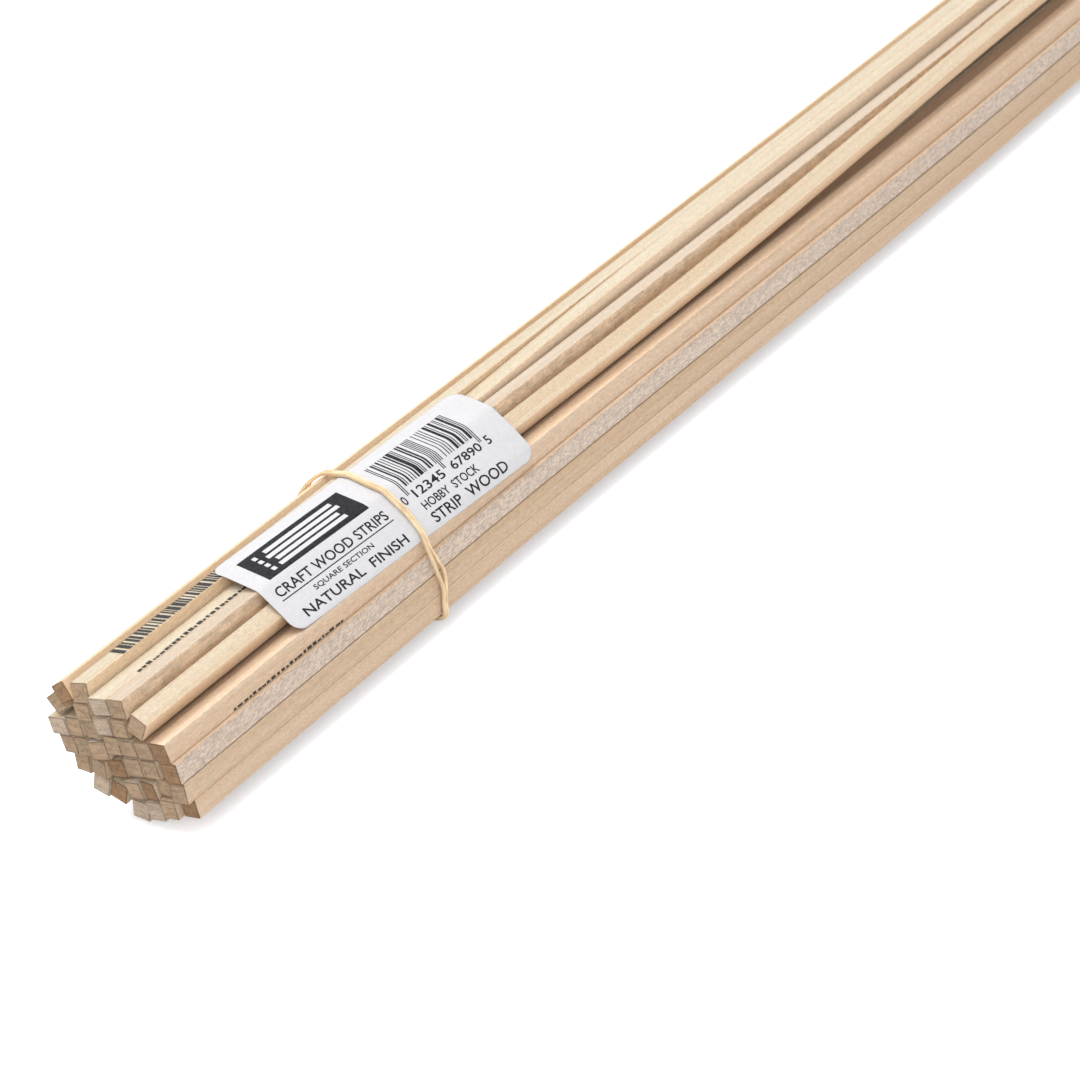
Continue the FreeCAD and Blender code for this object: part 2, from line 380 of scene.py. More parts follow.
def make_end_wood():
    """Cut ends: darker, with pores and pits, faint growth rings, saw marks and a dark rim, partly the dark
    fuzz of a cut edge and partly painted shade of the crevices between strips.
    """
    shader = Shader("basswood_ends")
    place = shader.attribute("stick", "Vector")
    tone = shader.attribute("tone", "Color")
    pores = shader.noise(shader.stretched(place, 0.2, 4.5, 4.5), detail=3.0, roughness=0.7)
    rings = shader.noise(shader.stretched(place, 0.02, 0.22, 1.6), detail=2.0, distortion=0.4)
    cuts = shader.noise(shader.stretched(place, 1.0, 7.0, 0.6), detail=2.0)
    pits = shader.noise(shader.stretched(place, 0.2, 13.0, 13.0), detail=1.0)
    rim = shader.attribute("rim", "Fac")
    colour = shader.shade(tone, shader.between(pores, 0.3, 0.7, 0.72, 1.18))
    # partly painted shade: each end darkens towards its rim so that the crevices between strips read dark;
    # partly the dark fuzz of a cut edge
    colour = shader.shade(colour, shader.between(rim, 0.82, 1.0, 1.03, 0.5))
    colour = shader.shade(colour, shader.between(rings, 0.35, 0.65, 0.84, 1.1))
    colour = shader.shade(colour, shader.between(cuts, 0.3, 0.7, 0.9, 1.08))
    colour = shader.shade(colour, shader.between(pits, 0.55, 0.68, 1.03, 0.6))
    height = shader.math("ADD", pores, shader.math("MULTIPLY", cuts, 0.9))
    return shader.finish(
        Base_Color=colour,
        Roughness=0.8,
        Specular_IOR_Level=0.2,
        Normal=shader.bump(height, 0.16, 1.0),
    )


CREAM = linear(212, 196, 172)
PINK_CREAM = linear(206, 193, 177)
TAN = linear(210, 186, 160)
DULL_TAN = linear(204, 180, 152)
WARM_TAN = linear(234, 206, 172)
SHADE_TAN = linear(222, 196, 166)
# painted light: a lightened tone for single faces that sit in shade
PAINTED_LIGHT_TAN = linear(240, 217, 190)
# painted light: a lighter tone for the upper side strip's top, which lies in the shade of the strip above
PAINTED_LIGHT_LEDGE_TAN = linear(231, 207, 181)
GREY_TAN = linear(194, 173, 152)
SAWN_TAN = linear(224, 198, 169)
# painted shade: a warm, darker tone for two inner strips, so that the gap beneath the raised shoulder strip
# reads as warm shade
PAINTED_GAP_SHADE_TAN = linear(192, 163, 136)
PALE_CREAM = linear(208, 197, 175)
COMMON_TONES = (CREAM, PINK_CREAM, TAN, PALE_CREAM)

# Tones of single strips, and of single faces where a strip's faces differ.  A face is the
# right-hand one, the top, the left-hand one or the foot of a strip's own section.
RIGHT, TOP, LEFT, FOOT = range(4)
STRIP_TONES = {
    CROWN: PALE_CREAM,
    CROWN_LEFT: WARM_TAN,
    TOP_MIDDLE: PALE_CREAM,
    TOP_RIGHT: PINK_CREAM,
    SHOULDER: CREAM,
    SIDE_UPPER: TAN,
    SIDE_FLECKED: GREY_TAN,
    SIDE_LOWER: DULL_TAN,
    SIDE_FOOT: TAN,
    # painted shade: these inner strips' tone colours the gap beneath the raised shoulder strip
    **{number: PAINTED_GAP_SHADE_TAN for number in INNER_SHOULDER},
}
FACE_TONES = {
    (CROWN, RIGHT): WARM_TAN,
    # painted light: the middle top strip's right-hand side is shaded by its neighbours and is lightened
    (TOP_MIDDLE, RIGHT): PAINTED_LIGHT_TAN,
    (TOP_RIGHT, RIGHT): SAWN_TAN,
    (SHOULDER, RIGHT): SHADE_TAN,
    # painted light: the upper side strip's top is lighter than its other faces
    (SIDE_UPPER, TOP): PAINTED_LIGHT_LEDGE_TAN,
    # painted light: the flecked strip's top ledge lies in the shadow of the strip above and is lightened
    (SIDE_FLECKED, TOP): PAINTED_LIGHT_TAN,
}
FLECKED_FACES = {(SIDE_FLECKED, RIGHT): 1.0, (SIDE_UPPER, RIGHT): 0.2, (SIDE_LOWER, RIGHT): 0.12}
SAWN_FACES = {(TOP_RIGHT, RIGHT): 1.0}

END_TONE = linear(172, 146, 119)
DARK_END = linear(152, 120, 89)
PALE_END = linear(188, 168, 148)
END_TONES = {number: DARK_END for number in (5, 7, 9, 14, 17, 24, 35)}
END_TONES.update({number: PALE_END for number in (2, 3, 6, 25, 28, 33)})

# How much one strip's tone, one face of it and one cut end vary, and the least and most of a
# strip's warm lines and of a face's flecks.
STRIP_VARIES = (0.96, 1.03)
FACE_VARIES = (0.985, 1.015)
END_VARIES = (0.92, 1.08)
WARMTH_VARIES = (0.2, 0.8)
FLECK_VARIES = (0.0, 0.15)

ARRIS_RADIUS = 0.17
ARRIS_STEPS = 2
# how far apart a strip's rings of points are along its sides
STATION_PITCH = 8.0
# A cut end's rings, as shares of the section, how rough and how far off square the cut is, and
# how far in from it the sides begin.
CAP_SCALES = (0.04, 0.36, 0.68, 0.93)
CAP_ROUGHNESS = 0.05
CAP_SLOPE = 0.07
EDGE_BREAK = 0.12
# from one strip to the next, how far on in the wood's patterns, so that no two look alike
GRAIN_SHIFT = np.array([977.0, 31.0, 17.0])
# how much thinner than the stock a strip looks, which opens fine seams
SLIMMING = 0.1
# The strips down the shown side are a little taller than the stock, which closes their seams.
SWELLING = {SIDE_UPPER: 0.3, SIDE_FLECKED: 0.4, SIDE_LOWER: 0.3}


def build_strip(strip, side_wood, end_wood):
    """One strip as a swept square with broken arrises and slightly rough cut ends."""
    height = SIDE - SLIMMING + SWELLING.get(strip.number, 0.0)
    profile = rounded_rectangle(SIDE - SLIMMING, height, ARRIS_RADIUS, ARRIS_STEPS)
    ring_size = len(profile)
    inner_count = max(2, round((strip.far - strip.near) / STATION_PITCH))
    stations = np.linspace(strip.near + EDGE_BREAK, strip.far - EDGE_BREAK, inner_count)
    slopes = random.normal(0, CAP_SLOPE, (2, 2))
    rings = []
    places = []
    rims = []
    for x, scale, rough, end in ring_plan(strip, stations):
        section = profile * scale
        offsets = random.normal(0, rough, ring_size) if rough else np.zeros(ring_size)
        if end is not None:
            offsets = offsets + section @ slopes[end]
        rings.append(on_strip(strip, x + offsets, section[:, 0], section[:, 1]))
        places.append(np.column_stack([x + offsets - strip.near, section]))
        rims.append(np.full(ring_size, scale))
    points = np.concatenate(rings)
    faces = tube_faces(len(rings), ring_size)
    cap_rings = len(CAP_SCALES)
    ring_of_face = np.arange(len(rings) - 1).repeat(ring_size)
    is_cap = (ring_of_face < cap_rings) | (ring_of_face >= len(rings) - 1 - cap_rings)
    face_materials = np.concatenate([is_cap, [True, True]]).astype(int)
    piece = add_piece("basswood_" + strip.node, points, faces, [side_wood, end_wood], face_materials)

    grain_places = np.concatenate(places) + strip.number * GRAIN_SHIFT
    give_attribute(piece.data, "stick", "FLOAT_VECTOR", "POINT", grain_places, "vector")
    give_attribute(piece.data, "rim", "FLOAT", "POINT", np.concatenate(rims), "value")
    face_tones, face_figures = face_looks(strip, len(rings), ring_size, is_cap)
    corners = np.array([face.loop_total for face in piece.data.polygons])
    tones = face_tones.repeat(corners, axis=0)
    figures = face_figures.repeat(corners, axis=0)
    give_attribute(piece.data, "tone", "FLOAT_COLOR", "CORNER", tones, "color")
    give_attribute(piece.data, "figure", "FLOAT_VECTOR", "CORNER", figures, "vector")
    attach(piece, strip.node)
    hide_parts(strip.node)


def ring_plan(strip, stations):
    """(x, scale, roughness, end) of each ring: the near cap, the long sides, then the far cap.

    The end, 0 near and 1 far, says whose slope a ring shares, and is None along the sides.
    """
    near_cap = [(strip.near, scale, CAP_ROUGHNESS, 0) for scale in CAP_SCALES]
    far_cap = [(strip.far, scale, CAP_ROUGHNESS, 1) for scale in reversed(CAP_SCALES)]
    sides = [(x, 1.0, 0, None) for x in stations[1:-1]]
    return near_cap + [(stations[0], 1.0, 0, 0)] + sides + [(stations[-1], 1.0, 0, 1)] + far_cap


def face_looks(strip, ring_count, ring_size, is_cap):
    """Each face's tone, and its shares of fleck, saw marks and warm lines."""
    base = STRIP_TONES.get(strip.number)
    if base is None:
        base = COMMON_TONES[random.integers(len(COMMON_TONES))]
    base = np.array(base) * random.uniform(*STRIP_VARIES)
    warmth = random.uniform(*WARMTH_VARIES)
    side_tones = []
    side_figures = []
    for side in (RIGHT, TOP, LEFT, FOOT):
        tone = FACE_TONES.get((strip.number, side), base)
        side_tones.append((*np.array(tone) * random.uniform(*FACE_VARIES), 1.0))
        fleck = FLECKED_FACES.get((strip.number, side), random.uniform(*FLECK_VARIES))
        side_figures.append((fleck, SAWN_FACES.get((strip.number, side), 0.0), warmth))
    # the profile's points lie a quarter each on the left face, the top, the right face and the foot
    side_of_point = np.repeat((LEFT, TOP, RIGHT, FOOT), ring_size // 4)
    tones = np.array(side_tones)[np.tile(side_of_point, ring_count - 1)]
    figures = np.array(side_figures)[np.tile(side_of_point, ring_count - 1)]
    end_tone = (*np.array(END_TONES.get(strip.number, END_TONE)) * random.uniform(*END_VARIES), 1.0)
    tones[is_cap] = end_tone
    tones = np.concatenate([tones, [end_tone, end_tone]])
    figures = np.concatenate([figures, np.zeros((2, 3))])
    return tones, figures


# ---------------------------------------------------------------- outline of the bundle


class Outline:
    """The stretched outline round all the strips' sections, measured along its length."""

    STEP = 0.05

    def __init__(self):
        corners = sorted({tuple(corner) for strip in STRIPS for corner in strip.corners})
        hull = self.half(corners) + self.half(corners[::-1])
        self.hull = np.array(hull)
        closed = np.vstack([self.hull, self.hull[:1]])
        self.at_corner = np.concatenate([[0], np.cumsum(np.hypot(*np.diff(closed, axis=0).T))])
        self.length = self.at_corner[-1]
        count = round(self.length / self.STEP)
        self.steps = np.arange(count) * self.length / count
        self.dense = np.stack([np.interp(self.steps, self.at_corner, closed[:, axis]) for axis in (0, 1)], 1)

    @staticmethod
    def half(points):
        """One half of the stretched outline, from the first of the sorted points up to the last."""
        chain = []
        for point in points:
            while len(chain) > 1 and bends_right(chain[-2], chain[-1], point):
                chain.pop()
            chain.append(point)
        return chain[:-1]

    def ease(self, values, softness):
        """Values at the outline's steps, smoothed over softness round the outline."""
        reach = int(4 * softness / self.STEP)
        weights = np.exp(-0.5 * (np.arange(-reach, reach + 1) * self.STEP / softness) ** 2)
        wrapped = np.concatenate([values[-reach:], values, values[:reach]])
        return np.convolve(wrapped, weights / weights.sum(), "valid")

    def curve(self, softness):
        """Dense points and outward normals of the outline, its corners eased over softness."""
        eased = np.stack([self.ease(self.dense[:, axis], softness) for axis in (0, 1)], 1)
        tangent = np.roll(eased, -1, axis=0) - np.roll(eased, 1, axis=0)
        tangent /= np.hypot(*tangent.T)[:, None]
        return eased, np.stack([tangent[:, 1], -tangent[:, 0]], 1)

    def places(self, curve, distance, height):
        """Points at distances along the outline, standing height outside it."""
        eased, normal = curve
        distance = np.mod(distance, self.length)
        point = [np.interp(distance, self.steps, eased[:, axis], period=self.length) for axis in (0, 1)]
        out = [np.interp(distance, self.steps, normal[:, axis], period=self.length) for axis in (0, 1)]
        return point[0] + height * out[0], point[1] + height * out[1]

    def nearest(self, points):
        """Distance along the outline of the place nearest to each point."""
        gaps = ((points[:, None, :] - self.dense[None, ::4, :]) ** 2).sum(axis=2)
        return self.steps[::4][gaps.argmin(axis=1)]


def bends_right(first, second, third):
    """Whether the way through three points runs straight or bends to the right."""
    turn = (second[0] - first[0]) * (third[1] - first[1]) - (second[1] - first[1]) * (third[0] - first[0])
    return turn <= 0


OUTLINE = Outline()
SIDE_ARRIS = OUTLINE.nearest(STRIPS[SIDE_UPPER - 1].middle[None] + SIDE * np.array([[-0.5, 0.5]]))[0]


# ---------------------------------------------------------------- rubber bands

# the gap between a band and the outline, wide enough to pass over the label's loose paper
BAND_CLEARANCE = 0.47
STRAND_WIDTH = 0.76
STRAND_DEPTH = 1.0
STRAND_ROUNDING = 0.3
STRAND_STEPS = 3
# how softly a band bends over the bundle's corners, and how softly its turns wander
BAND_SOFTNESS = 0.45
TURN_SOFTNESS = 1.3
BAND_STATIONS = 420

# How the two turns of a band wander, from the back over the top and down the right-hand side:
# (mm round the outline past the side's upper arris, mm towards the far end).
FIRST_TURN = (
    (-52, -0.6), (-37, -0.5), (-31, 1.2), (-24, 1.6), (-17, 0.9), (-7, 0.8), (-1.5, 0.2),
    (2, -0.8), (6, -0.9), (10.5, -0.6), (14, -0.1), (17, -1.4), (20, -2.5), (34, -1.4),
)
SECOND_TURN = (
    (-52, 0.9), (-37, 1.9), (-31, 2.0), (-24, 2.4), (-17, 1.7), (-7, 1.6), (-1.5, 0.9),
    (2, 0.0), (5, 0.1), (7.5, 1.1), (10.5, 1.8), (14, 0.7), (17, -0.6), (20, -1.7), (34, -0.4),
)

RUBBER_PALE = (*linear(234, 215, 182), 1)
RUBBER_DARK = (*linear(212, 183, 143), 1)


def make_rubber():
    """Natural rubber: pale tan, slightly translucent, with faint mottling."""
    shader = Shader("natural_rubber")
    place = shader.node("TexCoord").outputs["Object"]
    mottle = shader.noise(shader.stretched(place, 600, 250, 250), detail=3.0)
    grain = shader.noise(shader.stretched(place, 4000, 900, 900), detail=2.0)
    colour = shader.mix(shader.between(mottle, 0.3, 0.7), RUBBER_DARK, RUBBER_PALE)
    return shader.finish(
        Base_Color=colour,
        Roughness=shader.between(grain, 0.2, 0.8, 0.38, 0.55),
        Specular_IOR_Level=0.4,
        Subsurface_Weight=0.45,
        Subsurface_Radius=(1.0, 0.55, 0.25),
        Subsurface_Scale=1.2 * MM,
        Normal=shader.bump(grain, 0.03, 0.5),
    )


def turn_offsets(points, distance):
    """A turn's place along the strips from the band's middle, at distances round the outline."""
    places, offsets = np.array(points).T
    around = (SIDE_ARRIS + places) % OUTLINE.length
    straight = np.interp(OUTLINE.steps, around, offsets, period=OUTLINE.length)
    eased = OUTLINE.ease(straight, TURN_SOFTNESS)
    return np.interp(distance, OUTLINE.steps, eased, period=OUTLINE.length)


def build_band(name, rubber, facing):
    """A band's two turns round the bundle.  facing is 1, or -1 for turns that wander mirrored."""
    middle = BAND_PLACES[name]
    curve = OUTLINE.curve(BAND_SOFTNESS)
    profile = rounded_rectangle(STRAND_WIDTH, STRAND_DEPTH, STRAND_ROUNDING, STRAND_STEPS)
    distance = np.linspace(0, OUTLINE.length, BAND_STATIONS, endpoint=False)
    shift = bow(middle, (0, MIDDLE_HEIGHT))
    points = []
    faces = []
    for turn in (FIRST_TURN, SECOND_TURN):
        along = facing * turn_offsets(turn, distance)
        rings = []
        for across, out in profile:
            y, z = OUTLINE.places(curve, distance, BAND_CLEARANCE + STRAND_DEPTH / 2 + out)
            rings.append(np.stack([middle + along + across, y + shift, np.maximum(z, 0)], 1))
        start = sum(len(part) for part in points)
        points.append(np.stack(rings, 1).reshape(-1, 3))
        for face in tube_faces(BAND_STATIONS, len(profile), closed=True):
            faces.append(tuple(start + index for index in face))
    piece = add_piece(name.replace("rubber_band", "rubber_turns"), np.concatenate(points), faces, [rubber])
    piece.data.shade_smooth()
    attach(piece, name)
    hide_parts(name)


# ---------------------------------------------------------------- label

# how softly the paper bends over the bundle's corners
LABEL_SOFTNESS = 0.8
LABEL_CORNER = 3.5
# the share of the label's length, from each end, whose points give that end's place
END_SHARE = 0.12
PAPER_THICKNESS = 0.14
# the paper's gap to the outline under the band and away from it, and how far the band's press reaches
PAPER_PRESSED = 0.12
PAPER_LOOSE = 0.3
PAPER_PRESS_REACH = 14.0
PRINT_HEIGHT = 0.02


class Label:
    """The label's flat rectangle, found again from the CAD label, and its place on the bundle.

    Flat places are given along the strips from its near edge and up from its lower edge.
    """

    def __init__(self):
        points = np.array([vertex.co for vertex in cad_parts["label"].data.vertices]) / MM
        around = OUTLINE.nearest(points[:, 1:])
        start, end = points[:, 0].min(), points[:, 0].max()
        near = points[:, 0] < start + END_SHARE * (end - start)
        far = points[:, 0] > end - END_SHARE * (end - start)
        self.upper = around[near].min()
        self.width = around[near].max() - self.upper
        self.skew = math.atan2(around[far].min() - self.upper, end - start - 2 * LABEL_CORNER)
        self.near = start + self.width * math.sin(self.skew)
        self.length = (end - self.near) / math.cos(self.skew)
        self.curve = OUTLINE.curve(LABEL_SOFTNESS)
        self.pressed_at = BAND_PLACES[FRONT_BAND] - self.near

    def place(self, along, up, height):
        """Points at flat places, height above the paper's underside."""
        along = np.asarray(along, float)
        down = self.width - np.asarray(up, float)
        cosine, sine = math.cos(self.skew), math.sin(self.skew)
        x = self.near + along * cosine - down * sine
        around = self.upper + along * sine + down * cosine
        loose = 1 - np.exp(-(((along - self.pressed_at) / PAPER_PRESS_REACH) ** 2))
        gap = PAPER_PRESSED + (PAPER_LOOSE - PAPER_PRESSED) * loose
        y, z = OUTLINE.places(self.curve, around, gap + height)
        return np.stack([x, y, z], 1)


LABEL = Label()
PAPER_WHITES = (*linear(203, 202, 204), 1), (*linear(210, 209, 212), 1)
INK_BLACKS = (0.012, 0.012, 0.014, 1), (0.032, 0.032, 0.036, 1)


def make_paper():
    """Coated white paper with faint fibres."""
    shader = Shader("label_paper")
    place = shader.node("TexCoord").outputs["Object"]
    fibres = shader.noise(shader.stretched(place, 900, 1400, 1400), detail=4.0, roughness=0.65)
    clouds = shader.noise(shader.stretched(place, 60, 120, 120), detail=2.0)
    colour = shader.mix(shader.between(fibres, 0.3, 0.7), *PAPER_WHITES)
    colour = shader.shade(colour, shader.between(clouds, 0.3, 0.7, 0.985, 1.01))
    return shader.finish(
        Base_Color=colour,
        Roughness=shader.between(fibres, 0.3, 0.7, 0.32, 0.45),
        Specular_IOR_Level=0.45,
        Normal=shader.bump(fibres, 0.01, 0.4),
    )


def make_ink():
    """Black print, slightly uneven."""
    shader = Shader("label_ink")
    place = shader.node("TexCoord").outputs["Object"]
    uneven = shader.noise(shader.stretched(place, 1500, 1500, 1500), detail=3.0)
    colour = shader.mix(shader.between(uneven, 0.3, 0.7), *INK_BLACKS)
    return shader.finish(
        Base_Color=colour,
        Roughness=shader.between(uneven, 0.3, 0.7, 0.45, 0.6),
        Specular_IOR_Level=0.12,
    )


# rows of points in the label's rounded corners and between them, and points to a row
CORNER_ROWS = 9
MIDDLE_ROWS = 70
LABEL_COLUMNS = 64


def build_label(paper):
    """The paper: a thin sheet bent over the bundle, its four corners rounded."""
    radius = LABEL_CORNER
    corner_rows = radius * (1 - np.cos(np.linspace(0, math.pi / 2, CORNER_ROWS)))
    middle_rows = np.linspace(radius, LABEL.length - radius, MIDDLE_ROWS)
    rows = np.concatenate([corner_rows[:-1], middle_rows, LABEL.length - corner_rows[-2::-1]])
    columns = LABEL_COLUMNS
    points = []
    for height in (0.0, PAPER_THICKNESS):
        for along in rows:
            depth = max(0.0, radius - along, radius - (LABEL.length - along))
            inset = radius - math.sqrt(max(0.0, radius**2 - depth**2))
            up = np.linspace(inset, LABEL.width - inset, columns)
            points.append(LABEL.place(np.full(columns, along), up, height))
    points = np.concatenate(points)
    top = len(rows) * columns
    faces = []
    for row in range(len(rows) - 1):
        for column in range(columns - 1):
            first = row * columns + column
            lower = (first, first + 1, first + columns + 1, first + columns)
            faces.append(lower)
            faces.append(tuple(top + index for index in reversed(lower)))
    rim = list(range(columns))
    rim += [row * columns + columns - 1 for row in range(1, len(rows))]
    rim += [(len(rows) - 1) * columns + column for column in range(columns - 2, -1, -1)]
    rim += [row * columns for row in range(len(rows) - 2, 0, -1)]
    for first, second in zip(rim, rim[1:] + rim[:1]):
        faces.append((second, first, top + first, top + second))
    piece = add_piece("label_paper", points, faces, [paper])
    piece.data.shade_smooth()
    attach(piece, "label")
    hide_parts("label")


def flat_box(shape, left, foot, width, height):
    """Add a rectangle to a flat bmesh drawing."""
    corners = ((left, foot), (left + width, foot), (left + width, foot + height), (left, foot + height))
    shape.faces.new([shape.verts.new((x, y, 0)) for x, y in corners])


# how much bolder the letters are than the font draws them, as a share of their size
LETTER_WEIGHT = 0.014
# how finely a drawing is cut to bend over the bundle: upwards and along the strips
CUT_UP = 0.6
CUT_ALONG = 4.0


def flat_text(shape, words, left, foot, width, height):
    """Add words to a flat bmesh drawing, fitted into a rectangle."""
    curve = bpy.data.curves.new("words", "FONT")
    curve.body = words
    curve.resolution_u = 3
    curve.offset = LETTER_WEIGHT
    holder = bpy.data.objects.new("words", curve)
    bpy.context.scene.collection.objects.link(holder)
    bpy.context.view_layer.update()
    mesh = bpy.data.meshes.new_from_object(holder.evaluated_get(bpy.context.evaluated_depsgraph_get()))
    spots = np.array([vertex.co[:2] for vertex in mesh.vertices])
    low = spots.min(axis=0)
    scale = np.array([width, height]) / (spots.max(axis=0) - low)
    corners = [shape.verts.new((*(np.array([left, foot]) + (spot - low) * scale), 0)) for spot in spots]
    for face in mesh.polygons:
        shape.faces.new([corners[index] for index in face.vertices])
    bpy.data.objects.remove(holder)
    bpy.data.curves.remove(curve)
    bpy.data.meshes.remove(mesh)


def lay_on_label(name, shape, material, height):
    """Cut a flat drawing finely enough to bend, and lay it on the paper as a thin piece."""
    for level in np.arange(0.5, LABEL.width, CUT_UP):
        cut(shape, (0, level, 0), (0, 1, 0))
    for level in np.arange(3.0, LABEL.length, CUT_ALONG):
        cut(shape, (level, 0, 0), (1, 0, 0))
    shape.verts.ensure_lookup_table()
    shape.verts.index_update()
    spots = np.array([vertex.co[:2] for vertex in shape.verts])
    faces = [tuple(vertex.index for vertex in face.verts) for face in shape.faces]
    shape.free()
    points = LABEL.place(spots[:, 0], spots[:, 1], PAPER_THICKNESS + height)
    piece = add_piece(name, points, faces, [material])
    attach(piece, "label")


def cut(shape, place, normal):
    """Cut a flat drawing along a line."""
    everything = shape.verts[:] + shape.edges[:] + shape.faces[:]
    bmesh.ops.bisect_plane(shape, geom=everything, plane_co=place, plane_no=normal)


# Bar and space widths of each digit in a shop bar code, in modules.
DIGIT_WIDTHS = ("3211", "2221", "2122", "1411", "1132", "1231", "1114", "1312", "1213", "3112")
PLACEHOLDER_DIGITS = "012345678905"


def bar_code(digits):
    """(start, width, is_guard) of each bar, in modules, and the code's whole width.

    Guards of one-module bars stand before, between and after the two halves.
    """
    half = len(digits) // 2
    runs = [(1, True)] * 3
    for digit in digits[:half]:
        runs += [(int(width), False) for width in DIGIT_WIDTHS[int(digit)]]
    runs += [(1, True)] * 5
    for digit in digits[half:]:
        runs += [(int(width), False) for width in DIGIT_WIDTHS[int(digit)]]
    runs += [(1, True)] * 3
    bars = []
    start = 0
    dark = True
    for width, guard in runs:
        if dark:
            bars.append((start, width, guard))
        start += width
        dark = not dark
    return bars, start


# Rectangles on the flat label: left, foot, width and height.
BANNER = (4.95, 13.75, 36.0, 10.0)
RULE = (3.0, 7.85, 40.6, 0.28)
LABEL_WORDS = (
    ("CRAFT WOOD STRIPS", (3.2, 8.8, 40.0, 2.7)),
    ("SQUARE SECTION", (12.3, 5.2, 21.4, 1.6)),
    ("NATURAL  FINISH", (5.4, 1.5, 37.4, 2.5)),
    (PLACEHOLDER_DIGITS[0], (49.3, 8.8, 1.5, 2.5)),
    (PLACEHOLDER_DIGITS[1:6], (53.6, 8.8, 11.4, 2.5)),
    (PLACEHOLDER_DIGITS[6:11], (68.0, 8.8, 11.4, 2.5)),
    (PLACEHOLDER_DIGITS[11], (81.6, 8.8, 1.7, 2.5)),
    ("HOBBY  STOCK", (53.0, 5.1, 21.0, 2.3)),
    ("STRIP  WOOD", (52.8, 1.2, 28.8, 2.8)),
)
CODE_LEFT = 51.8
CODE_WIDTH = 29.0
CODE_TOP = 24.0
BAR_FOOT = 12.7
GUARD_FOOT = 10.6
# The banner's sign: four drawn strips of uneven lengths, each with a square end beside it.
SIGN_ROWS = 4
SIGN_LEFT = 8.4
SIGN_FOOT = 15.2
SIGN_PITCH = 1.95
SIGN_SQUARE = 1.25
SIGN_STRIP_LEFT = 11.2
SIGN_STRIP_LENGTH = 25.6
SIGN_INSET = 1.1
SIGN_SHORTENING = 1.7


def build_print(ink, paper):
    """Generic print on the label: a banner, plain words, a rule and a placeholder bar code."""
    shape = bmesh.new()
    flat_box(shape, *BANNER)
    flat_box(shape, *RULE)
    for words, rectangle in LABEL_WORDS:
        flat_text(shape, words, *rectangle)
    bars, modules = bar_code(PLACEHOLDER_DIGITS)
    module = CODE_WIDTH / modules
    for start, width, guard in bars:
        foot = GUARD_FOOT if guard else BAR_FOOT
        flat_box(shape, CODE_LEFT + start * module, foot, width * module, CODE_TOP - foot)
    lay_on_label("label_print", shape, ink, PRINT_HEIGHT)

    sign = bmesh.new()
    for row in range(SIGN_ROWS):
        foot = SIGN_FOOT + SIGN_PITCH * row
        left = SIGN_STRIP_LEFT + SIGN_INSET * (row % 2)
        length = SIGN_STRIP_LENGTH - SIGN_SHORTENING * ((row + 1) % 3)
        flat_box(sign, SIGN_LEFT, foot, SIGN_SQUARE, SIGN_SQUARE)
        flat_box(sign, left, foot, length, SIGN_SQUARE)
    lay_on_label("label_banner_sign", sign, paper, 2 * PRINT_HEIGHT)


# ---------------------------------------------------------------- ink on the strips


def build_strip_ink(name, number, ink, marks, place):
    """Printed marks on one face of a strip.  place gives section points for the marks' edges."""
    strip = STRIPS[number - 1]
    points = []
    faces = []
    for start, width, low, high in marks:
        x = strip.near + np.array([start, start + width, start + width, start])
        share = np.array([low, low, high, high])
        along_side, along_up = place(share)
        first = len(points)
        points += list(on_strip(strip, x, along_side, along_up))
        faces.append((first, first + 1, first + 2, first + 3))
    piece = add_piece(name, points, faces, [ink])
    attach(piece, strip.node)


def on_top(share):
    """The top face, from its right arris (0) to its left (1)."""
    flat = SIDE - 2 * ARRIS_RADIUS
    return share * flat - flat / 2, np.full(4, SIDE / 2 + PRINT_HEIGHT)


def on_right(share):
    """The right-hand face, from its foot (0) to its top (1)."""
    flat = SIDE - 2 * ARRIS_RADIUS
    return np.full(4, -SIDE / 2 - PRINT_HEIGHT), share * flat - flat / 2


# Marks are (start, width, low, high): along the strip in mm, and across its face as shares.


def printed_bars(start, end):
    """Marks across a face like the bars of a code."""
    marks = []
    x = start
    while x < end:
        width = random.choice((0.4, 0.6, 0.9, 1.3))
        marks.append((x, width, 0.0, 1.0))
        x += width + random.choice((0.35, 0.5, 0.75))
    return marks


def printed_scraps(start, end, highest):
    """Small marks close to an arris, like the feet of printed characters."""
    marks = []
    x = start
    while x < end:
        width = random.uniform(0.6, 1.7)
        marks.append((x, width, 0.0, random.uniform(0.5, 1.0) * highest))
        x += width + random.uniform(0.2, 0.7)
    return marks


WORN_BLACKS = (*linear(24, 24, 26), 1), (*linear(62, 60, 60), 1)


def make_strip_ink():
    """Thin dark print that lets the wood show through a little."""
    shader = Shader("strip_ink")
    place = shader.node("TexCoord").outputs["Object"]
    worn = shader.noise(shader.stretched(place, 1200, 2600, 2600), detail=3.0)
    colour = shader.mix(shader.between(worn, 0.35, 0.7), *WORN_BLACKS)
    return shader.finish(Base_Color=colour, Roughness=0.7)


# ---------------------------------------------------------------- stage

LOOK_AT = (NEAR_END + 134.5, -15.3, 0.0)
VIEW_HEADING = math.radians(43.137)
VIEW_DIP = math.radians(24.368)
VIEW_ROLL = math.radians(16.66)
VIEW_DISTANCE = 862.8
LENS = 117.34
SENSOR = 36.0
CLIP_NEAR = 0.05
CLIP_FAR = 50
# how far along the line of sight the camera focuses, as a share of the way to LOOK_AT
FOCUS_SHARE = 0.96
F_STOP = 45.0


